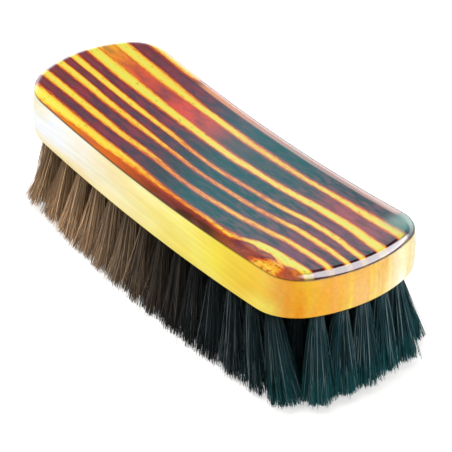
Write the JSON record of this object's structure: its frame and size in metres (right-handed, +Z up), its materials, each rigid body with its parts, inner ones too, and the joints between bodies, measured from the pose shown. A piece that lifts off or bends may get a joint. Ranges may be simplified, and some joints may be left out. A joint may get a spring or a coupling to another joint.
{
  "type": "shoe shine brush",
  "caption": "Hand brush for shining shoes: dished two-part lacquered wooden block with a dark-striped top, and rows of long dark hair tufts drawn into its underside.",
  "frame": {"origin": "on the resting plane of the hair tips, under the middle of the brush", "axes": "+X along the brush, +Y across it, +Z up from the tips to the striped top"},
  "size_m": [0.1874, 0.0704, 0.0566],
  "materials": {
    "amber_wood": "gloss amber lacquer",
    "striped_wood": "gloss lacquer over dark grain stripes",
    "dark_hair": "natural sheen",
    "drawing_wire": "drawn"
  },
  "bodies": {
    "root": {"bristle_board": "amber_wood", "cover_board": "striped_wood", "tuft_row_1": "dark_hair", "tuft_row_2": "dark_hair", "tuft_row_3": "dark_hair", "tuft_row_4": "dark_hair", "tuft_row_5": "dark_hair", "tuft_row_6": "dark_hair", "tuft_row_7": "dark_hair", "draw_wire_1": "drawing_wire", "draw_wire_2": "drawing_wire", "draw_wire_3": "drawing_wire", "draw_wire_4": "drawing_wire", "draw_wire_5": "drawing_wire", "draw_wire_6": "drawing_wire", "draw_wire_7": "drawing_wire"}
  },
  "joints": []
}
